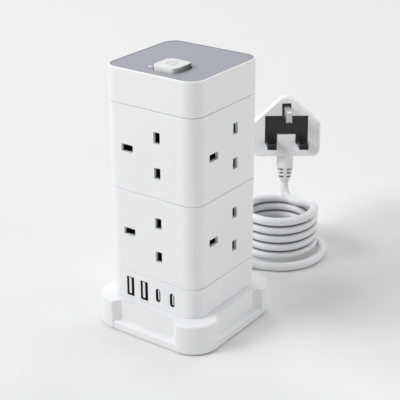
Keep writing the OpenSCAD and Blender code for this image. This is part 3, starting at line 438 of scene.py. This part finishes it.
# ABS panel sprayed lavender-grey: matt, slightly cool
PANEL_PAINT = moulded("panel_abs_sprayed", "#9d9fab", "#999ba7", 0.6, 0.35, 0.012,
                      **{"Specular IOR Level": 0.25})
# Glass-filled nylon behind the slots: black and matt
BLACK_NYLON = moulded("black_nylon", "#0f0f10", "#0b0b0c", 0.6, 0.4, 0.02)
# Acetal shutters: deep black with hardly any sheen, so slots read as dark holes from the side too
SHUTTER_ACETAL = moulded("shutter_acetal", "#09090a", "#060607", 0.7, 0.4, 0.01,
                         **{"Specular IOR Level": 0.15})
# Soft PVC sheath, extruded: even white with a low, broad sheen
PVC_SHEATH = moulded("pvc_sheath", "#efeff0", "#ebebec", 0.46, 0.8, 0.02)
# The same sheath wound in a coil, with painted shade where one turn lies on the next and on the
# floor
COILED_SHEATH = moulded("pvc_sheath_coiled_painted_shade", "#efeff0", "#ebebec", 0.46, 0.8, 0.02,
                        dark=(crevice_shade_mask, "#77777a"))
# Soft PVC of the boot: the slots that let it bend are deep, and painted shade darkens them
BOOT_PVC = moulded("pvc_boot_painted_slot_shade", "#ebebec", "#e8e8e9", 0.46, 0.8, 0.02,
                   dark=(boot_slot_shade_mask, "#3c3c3e"))
# Moulded PVC of the plug: white and a little glossier than the sheath
PLUG_PVC = moulded("plug_pvc", "#f2f2f3", "#efeff0", 0.36, 0.6, 0.012)
# Hard thermoset insert of the plug's pin face: black, semi-gloss
PLUG_INSERT = moulded("plug_insert_black", "#121213", "#0d0d0e", 0.38, 0.4, 0.01)
# Rubber feet: matt dark grey
FOOT_RUBBER = moulded("foot_rubber", "#2a2a2b", "#242425", 0.85, 0.6, 0.03)
# Light pipe: frosted clear plastic that reads as a white dot
LIGHT_PIPE = moulded("light_pipe_frosted", "#fbfbfc", "#f8f8fa", 0.25, 0.3, 0.004)
# White liquid-crystal polymer tongue of a USB port, with painted shade on its flanks
PORT_TONGUE = moulded("port_tongue_painted_flank_shade", "#f0f0f0", "#ececec", 0.45, 0.3, 0.006,
                      dark=(tongue_flank_shade_mask, "#2c2c2e"))
# Solder mask over copper on glass fibre: green, with a slight gloss
CIRCUIT_BOARD = moulded("board_solder_mask", "#1f5a37", "#184b2d", 0.35, 0.5, 0.01)
# Varnished winding tape and shrink sleeves of the charger parts: dark olive, half matt
WINDING_TAPE = moulded("winding_tape", "#3a3a2e", "#2e2e28", 0.5, 0.6, 0.01)
# Rolled brass of the contacts: warm yellow, marked along the strip
BRASS_STRIP = metal("brass_strip", "#d8b56a", "#c9a353", 0.3, 0.4, (1.0, 1.0, 0.15))
# Zinc-plated steel of screws: pale, with a soft gleam
ZINC_STEEL = metal("zinc_steel", "#c9cacc", "#b9babd", 0.32, 0.3, (1.0, 1.0, 0.3))
# Bright spring steel, drawn wire and rolled strip, with a cool mirror-like gleam
SPRING_STEEL = metal("spring_steel", "#c4c6c9", "#b2b4b8", 0.26, 0.3, (0.3, 1.0, 1.0))
# Nickel-plated brass of the earth pin: light grey, marked along the pin
NICKEL_PIN = metal("nickel_pin", "#c4c4c3", "#b4b4b3", 0.28, 0.3, (1.0, 0.2, 1.0))
# Dark plated shells of the USB ports, which make the dark outline of each port
PORT_SHELL = metal("port_shell_dark", "#4a4b4e", "#3c3d40", 0.35, 0.3, (1.0, 0.2, 1.0))
# Dark ends of the live and neutral pins, hardly lighter than their sleeves
LINE_PIN = metal("line_pin_dark", "#353537", "#2a2a2c", 0.34, 0.3, (1.0, 0.2, 1.0))
# Gold plate over nickel on the ports' contacts: warm and bright, marked along the wiping direction
GOLD_PLATE = metal("gold_plate", "#e8c684", "#d8b26c", 0.22, 0.2, (1.0, 0.2, 1.0))
# Thin ring round the panel, matt dark grey: painted shade for the shadow gap between panel and rim
PANEL_EDGE_PAINTED_SHADE = moulded("panel_edge_painted_shade", "#5c5d62", "#525358", 0.7, 0.4, 0.01)
# Pad print on the button: flat grey ink
GREY_INK = moulded("pad_print_grey", "#b2b3b7", "#adaeb2", 0.55, 0.3, 0.004)
# Edge of the well in the panel, paler than the panel: a painted highlight where its bevel catches
# the light
WELL_EDGE_PAINTED_HIGHLIGHT = moulded("well_edge_painted_highlight", "#cfd0d7", "#c6c7ce", 0.4, 0.3, 0.008)

FINISHES = {
    COVER_PAINTED_SHADE: ["base_cover"],
    WHITE_ABS: ["base_shell", "usb_housing", "lower_socket_housing", "upper_socket_housing",
                "top_cap", "cord_clamp"],
    BUTTON_ABS_PAINTED_FLANKS: ["power_button"],
    PANEL_PAINT: ["top_panel"],
    BLACK_NYLON: ["lower_shutter_guides", "upper_shutter_guides", "lower_contact_carrier",
                  "upper_contact_carrier", "power_switch"],
    SHUTTER_ACETAL: [f"{tier}_{face}_shutter" for tier in SOCKET_Z for face in FACES],
    BRASS_STRIP: ["live_contacts", "neutral_contacts", "earth_contacts"],
    ZINC_STEEL: ["cover_screws", "tie_screws", "clamp_screws", "fuse"],
    PORT_SHELL: ["usb_a_shells", "usb_c_shells"],
    PORT_TONGUE: ["usb_a_tongues", "usb_c_tongues"],
    CIRCUIT_BOARD: ["usb_board", "control_board"],
    WINDING_TAPE: ["charger_parts"],
    FOOT_RUBBER: ["rubber_feet"],
    PVC_SHEATH: ["cord_gland", "inner_lead"],
    BOOT_PVC: ["plug_boot"],
    LIGHT_PIPE: ["indicator_lens"],
    PLUG_PVC: ["plug_body"],
    PLUG_INSERT: ["plug_insert", "pin_sleeves", "fuse_carrier"],
    NICKEL_PIN: ["plug_earth_pin"],
    LINE_PIN: ["plug_live_pin", "plug_neutral_pin"],
}


def finish_node(name, material):
    """Gives a CAD node its material in every slot."""
    data = NODES[name].data
    if not data.materials:
        data.materials.append(material)
    for i in range(len(data.materials)):
        data.materials[i] = material


for material, names in FINISHES.items():
    for name in names:
        finish_node(name, material)


# Mains lead

CORD_SIDES = 20
CORD_STEP = 2.0
# Degrees between points of the coil, and degrees before its end at which the tail takes over
COIL_STEP = 4.0
COIL_HANDOVER = 22.5
# From this far before the end, over this length, the tube's hint turns from up to backwards
HINT_FROM, HINT_OVER = 38, 14
# Share of straight up or down at which the painted shade of a crevice begins, and over which it
# deepens
CREVICE_FROM, CREVICE_OVER = 0.72, 0.27


def coil_line(angles):
    """Centre of the coiled cord at angles in degrees, in millimetres.

    The radius shrinks from the floor loop's to the coil's by half a cosine wave, and the height
    grows by one pitch a turn once the loop has left the floor."""
    wound = np.minimum(1, (angles - COIL_START) / (COIL_WOUND - COIL_START))
    radius = COIL_R + LOOP_EXTRA * (1 + np.cos(np.pi * wound)) / 2
    height = CORD_D / 2 + COIL_PITCH * np.maximum(0, angles - COIL_CLIMB) / 360
    a = np.radians(angles)
    return np.stack([COIL_CENTRE[0] + radius * np.cos(a), COIL_CENTRE[1] + radius * np.sin(a),
                     height], -1)


def mains_lead():
    """The whole lead as one tube: free stretch, coil, and the tail up into the boot."""
    start = coil_line(np.array([COIL_START]))[0]
    start_angle = np.radians(COIL_START)
    heading = np.array([-np.sin(start_angle), np.cos(start_angle), 0])
    lead = LEAD_POINTS + [tuple(start - heading * CORD_D), tuple(start)]
    lead = smooth_line(lead, CORD_STEP)[:-1]
    coil = coil_line(np.arange(COIL_START, COIL_END - COIL_HANDOVER, COIL_STEP))
    before, end, after = coil_line(np.array([COIL_END - 1, COIL_END, COIL_END + 1]))
    leaving = (after - before) / np.linalg.norm(after - before)
    tail = [tuple(end - leaving * CORD_D), tuple(end), tuple(end + leaving * CORD_D / 2)]
    tail += TAIL_POINTS + [tuple(PLUG_AT - plug_axis() * CORD_D), tuple(PLUG_AT)]
    path = np.vstack([lead, coil, smooth_line(tail, CORD_STEP)]) * MM
    steps = np.linalg.norm(np.diff(path, axis=0), axis=1)
    to_go = np.concatenate([np.cumsum(steps[::-1])[::-1], [0]])[:, None]
    near_end = np.clip((HINT_FROM * MM - to_go) / (HINT_OVER * MM), 0, 1)
    hint = (1 - near_end) * np.array([0, 0, 1.0]) + near_end * np.array([0, 1.0, 0])
    points = swept_tube(path, np.full(len(path), CORD_D / 2 * MM), CORD_SIDES, hint)
    piece = new_piece("mains_lead", points.reshape(-1, 3), tube_faces(len(path), CORD_SIDES),
                      COILED_SHEATH)
    # Painted shade: the sheath darkens where it faces the next turn up or down, and the floor
    upward = (points - path[:, None])[..., 2] / (CORD_D / 2 * MM)
    angle = COIL_START + COIL_STEP * (np.arange(len(path)) - len(lead))[:, None]
    under_next = (angle > COIL_CLIMB) & (angle < COIL_END - 360)
    on_last = (angle > COIL_START) & (angle < COIL_END)
    turned = np.clip((np.abs(upward) - CREVICE_FROM) / CREVICE_OVER, 0, 1)
    crevice = turned * np.where(upward > 0, under_next, on_last)
    values = piece.data.attributes.new("crevice", "FLOAT", "POINT").data
    values.foreach_set("value", crevice.ravel())
    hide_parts("cord_lead", "cord_coil", "cord_tail")
    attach(piece, "tower")


mains_lead()


# Button's mark, the well round it with painted shade and a painted highlight, and the ring of
# painted shade round the panel, in millimetres

MARK_R, MARK_STROKE = 3.0, 0.7
# Half of the gap in the ring, in degrees, and the ends of the bar that stands in it
MARK_GAP = 38
MARK_BAR = (0.5, 3.9)
# How far the ink reaches into the button and stands above it
MARK_SUNK, MARK_RAISED = 0.02, 0.05
# The liner is a black sheet of painted shade in the gap round the button
# Liner: gap to the well's wall, distance of its inner side, and where it begins and ends
LINER_GAP, LINER_SKIN = 0.02, 0.15
LINER_DEPTHS = (6, 0.1)
# Painted highlight round the hole: its reach beyond the hole, and its heights below and above the
# panel
EDGE_REACH = 0.35
EDGE_SUNK, EDGE_RAISED = 0.08, 0.1
# Ring of painted shade round the panel: its width, and its heights below and above the panel
SHADE_RING_WIDTH = 0.35
SHADE_RING_SUNK, SHADE_RING_RAISED = 0.05, 0.18


def power_mark():
    """Ring with a gap at the back and a bar in the gap, printed on the button: two level bars."""
    radius, stroke, top = MARK_R * MM, MARK_STROKE * MM, BUTTON_Z * MM
    turn = np.radians(np.linspace(90 + MARK_GAP, 450 - MARK_GAP, 49))
    ring = BUTTON_CENTRE + radius * np.stack([np.cos(turn), np.sin(turn)], -1)
    bar = BUTTON_CENTRE + np.linspace([0, MARK_BAR[0] * MM], [0, MARK_BAR[1] * MM], 4)
    levels = (top - MARK_SUNK * MM, top + MARK_RAISED * MM)
    points, faces = joined([level_bar(ring, stroke, *levels), level_bar(bar, stroke, *levels)])
    piece = new_piece("button_power_mark", points, faces, GREY_INK, smooth=False)
    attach(piece, "button")


def button_well():
    """Black liner down the well's wall, painted shade, and a pale edge on the panel, a painted
    highlight; square rings.
    """
    hole = (BUTTON_W + 2 * BUTTON_GAP) * MM
    radius = (BUTTON_R + BUTTON_GAP) * MM
    gap, skin, edge = LINER_GAP * MM, LINER_SKIN * MM, EDGE_REACH * MM
    top = PANEL_Z * MM
    liner = square_ring(BUTTON_CENTRE, hole - 2 * gap, radius - gap, hole - 2 * skin, radius - skin,
                        top - LINER_DEPTHS[0] * MM, top - LINER_DEPTHS[1] * MM)
    rim = square_ring(BUTTON_CENTRE, hole + 2 * edge, radius + edge, hole - 2 * gap, radius - gap,
                      top - EDGE_SUNK * MM, top + EDGE_RAISED * MM)
    for name, shape, material, slot in (
            ("button_well_painted_shade_liner", liner, BLACK_NYLON, "black_moulding"),
            ("button_well_edge", rim, WELL_EDGE_PAINTED_HIGHLIGHT, "grey_panel")):
        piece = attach(new_piece(name, *shape, material, smooth=False), "tower")


def panel_painted_shade_ring():
    """Thin dark ring between the panel's edge and the cap's rim, painted shade for the gap there; a
    square ring.
    """
    outer, radius, width = PANEL_W * MM, PANEL_R * MM, SHADE_RING_WIDTH * MM
    shape = square_ring(np.zeros(2), outer, radius, outer - 2 * width, radius - width,
                        (PANEL_Z - SHADE_RING_SUNK) * MM, (PANEL_Z + SHADE_RING_RAISED) * MM)
    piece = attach(new_piece("panel_painted_shade_ring", *shape, PANEL_EDGE_PAINTED_SHADE, smooth=False), "tower")


# Contacts of the ports, in millimetres: side of the tongue from the port's middle, ends behind the
# tongue's front, half width, and heights from the port's middle

CONTACT_SKIN = 0.06
WIDE_FACE, WIDE_ENDS, WIDE_HALF = 0.05, (1.0, 7.8), 0.5
WIDE_ZS = (-3.5, -1, 1, 3.5)
NARROW_FACE, NARROW_ENDS, NARROW_HALF = 0.4, (0.9, 3.3), 0.13
NARROW_ZS = np.arange(-2.75, 3, 0.5)


def port_contacts():
    """Flat contacts on the tongues, each a level bar from front to back.

    USB-A has four wide ones on one side, USB-C has twelve narrow ones on both sides."""
    skin = CONTACT_SKIN * MM
    front_a, front_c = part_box("usb_a_tongues")[0][1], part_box("usb_c_tongues")[0][1]

    def row(face, front, ends, half, heights):
        path = np.linspace([face, front + ends[0] * MM], [face, front + ends[1] * MM], 3)
        return [level_bar(path, skin, (PORT_Z + z - half) * MM, (PORT_Z + z + half) * MM)
                for z in heights]

    wide, narrow = [], []
    for x in PORT_XS[:2]:
        wide += row((x + WIDE_FACE) * MM + skin / 2, front_a, WIDE_ENDS, WIDE_HALF, WIDE_ZS)
    for x in PORT_XS[2:]:
        for side in (-1, 1):
            face = (x + side * NARROW_FACE) * MM + side * skin / 2
            narrow += row(face, front_c, NARROW_ENDS, NARROW_HALF, NARROW_ZS)
    for name, parts in (("usb_a_contacts", wide), ("usb_c_contacts", narrow)):
        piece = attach(new_piece(name, *joined(parts), GOLD_PLATE, smooth=False), "tower")


# Springs, in millimetres

# Strip behind a shutter: half height of its wave, number of folds, points in a fold, thickness
SPRING_REACH = 2.3
SPRING_FOLDS = 7
FOLD_STEPS = 12
SPRING_STRIP = 0.4
# The wave's end sections lean outwards by this much, so it begins and ends that much further in
SPRING_LEAN = 0.11
# Wire under the button: points in a turn, sides of its section
TURN_STEPS = 32
WIRE_SIDES = 10


def shutter_springs():
    """Folded strip behind each shutter: a cosine wave.

    The strip is a level bar on the wave, turned upright and then to the face of its shutter."""
    along = np.linspace(0, 1, FOLD_STEPS * SPRING_FOLDS + 1)
    first, last = SPRING_FROM + SPRING_LEAN, SPRING_WALL - SLIP - SPRING_LEAN
    swing = -SPRING_REACH * np.cos(np.pi * SPRING_FOLDS * along)
    wave = np.stack([first + (last - first) * along, swing], -1) * MM
    bar, faces = level_bar(wave, SPRING_STRIP * MM, SPRING_Y[0] * MM, SPRING_Y[1] * MM)
    x, z, depth = bar.T
    for tier, height in SOCKET_Z.items():
        for turn, face in enumerate(FACES):
            quarter = Matrix.Rotation(np.radians(90 * turn), 3, "Z")
            points = np.stack([x, -depth, z + height * MM], -1) @ np.array(quarter).T
            piece = new_piece(f"{tier}_{face}_shutter_spring", points, faces, SPRING_STEEL,
                              smooth=False)
            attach(piece, "tower")
            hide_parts(f"{tier}_shutter_springs")
            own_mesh(piece)


def button_spring():
    """Helix of round wire under the button.

    Its height is linear in the turns, and its first and last turns rise by just over one wire."""
    low = COIL_SPRING_LOW + SLIP + COIL_SPRING_WIRE / 2
    high = COIL_SPRING_HIGH - SLIP - COIL_SPRING_WIRE / 2
    closed = COIL_SPRING_WIRE + SLIP
    turns = np.linspace(0, COIL_SPRING_TURNS, TURN_STEPS * COIL_SPRING_TURNS + 1)
    rise = np.interp(turns, [0, 1, COIL_SPRING_TURNS - 1, COIL_SPRING_TURNS],
                     [low, low + closed, high - closed, high])
    angle = 2 * np.pi * turns
    path = np.stack([BUTTON_CENTRE[0] + COIL_SPRING_R * MM * np.cos(angle),
                     BUTTON_CENTRE[1] + COIL_SPRING_R * MM * np.sin(angle), rise * MM], -1)
    points = swept_tube(path, np.full(len(path), COIL_SPRING_WIRE / 2 * MM), WIRE_SIDES,
                        np.array([0, 0, 1.0]))
    piece = new_piece("button_return_spring", points.reshape(-1, 3),
                      tube_faces(len(path), WIRE_SIDES), SPRING_STEEL)
    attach(piece, "tower")
    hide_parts("button_spring")
    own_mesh(piece)


power_mark()
button_well()
port_contacts()
panel_painted_shade_ring()
shutter_springs()
button_spring()


# Floor and light, in metres and watts

FLOOR_HALF = 6.0
# The floor begins to glow at the first distance from the tower, and only glows from the second on
FLOOR_LIT = 1.1
FLOOR_GLOWING = 2.4 * FLOOR_LIT
# Tone variation of the paper: patches about a third of a metre wide
PAPER_SCALE = 3.0
# Strength of the pale backdrop, and of the dim fill that the surroundings give
BACKDROP = 0.86
FILL = 0.06

LAMP_TARGET = (0, 0.03, 0.08)
# Place, side of the square, power
LAMPS = {
    "front_lamp": ((-1.5, -2.3, 2.2), 1.5, 69),
    "left_back_lamp": ((-2.2, 1.8, 2.1), 1.5, 22),
    "left_lamp": ((-2.5, -1.3, 2.2), 1.5, 28),
    "back_lamp": ((0.2, 2.6, 2.2), 1.5, 17),
    "overhead_lamp": ((0.2, 0.8, 3.4), 3.0, 26),
    "right_back_lamp": ((2.3, 1.6, 2.0), 1.5, 17),
    "right_lamp": ((3.0, -0.4, 0.8), 1.2, 19),
}


def backdrop_rays(tree):
    """1 for the rays that see the pale backdrop: camera, glossy and transmission rays."""
    path = add(tree, "ShaderNodeLightPath")
    seen = add(tree, "ShaderNodeMath", {
        0: (path, "Is Camera Ray"), 1: (path, "Is Glossy Ray")}, operation="MAXIMUM")
    return add(tree, "ShaderNodeMath", {
        0: (seen, 0), 1: (path, "Is Transmission Ray")}, operation="MAXIMUM"), 0


def floor():
    """Pale matt floor, one large square, whose own colour is the background.

    Past the lamps' reach it glows as pale, for backdrop rays only, so no horizon shows."""
    material, tree, out, place = start_material("studio_floor")
    tone = add(tree, "ShaderNodeTexNoise", {"Vector": place, "Scale": PAPER_SCALE, "Detail": 1.0})
    colour = add(tree, "ShaderNodeMix", {
        0: (tone, "Fac"), 6: srgb("#eeeeee"), 7: srgb("#ededed")}, data_type="RGBA")
    paper = add(tree, "ShaderNodeBsdfDiffuse", {"Color": (colour, 2)})
    reach = add(tree, "ShaderNodeVectorMath", {0: place}, operation="LENGTH")
    far = add(tree, "ShaderNodeMapRange", {
        0: (reach, "Value"), 1: FLOOR_LIT, 2: FLOOR_GLOWING, 4: backdrop_rays(tree)})
    glow = add(tree, "ShaderNodeEmission", {"Color": (1, 1, 1, 1), "Strength": BACKDROP})
    both = add(tree, "ShaderNodeMixShader", {0: (far, 0), 1: (paper, 0), 2: (glow, 0)})
    tree.links.new(both.outputs[0], out.inputs["Surface"])
    corners = [(-FLOOR_HALF, -FLOOR_HALF, 0), (FLOOR_HALF, -FLOOR_HALF, 0),
               (FLOOR_HALF, FLOOR_HALF, 0), (-FLOOR_HALF, FLOOR_HALF, 0)]
    new_piece("floor", corners, [[0, 1, 2, 3]], material, smooth=False)


def soft_lamp(name, place, size, power):
    """Square area lamp that looks at the tower."""
    lamp = bpy.data.objects.new(name, bpy.data.lights.new(name, "AREA"))
    bpy.context.collection.objects.link(lamp)
    lamp.data.size = size
    lamp.data.energy = power
    lamp.location = place
    aim = Vector(LAMP_TARGET) - Vector(place)
    lamp.rotation_euler = aim.to_track_quat("-Z", "Y").to_euler()


def studio():
    """Soft lamps all round, and surroundings as pale as the backdrop for backdrop rays."""
    world = bpy.data.worlds.new("studio")
    bpy.context.scene.world = world
    world.use_nodes = True
    tree = world.node_tree
    level = add(tree, "ShaderNodeMapRange", {0: backdrop_rays(tree), 3: FILL, 4: BACKDROP})
    background = tree.nodes["Background"]
    tree.links.new(level.outputs[0], background.inputs["Strength"])
    background.inputs["Color"].default_value = (1, 1, 1, 1)
    for name, (place, size, power) in LAMPS.items():
        soft_lamp(name, place, size, power)
    bpy.context.scene.view_settings.view_transform = "Standard"


floor()
studio()
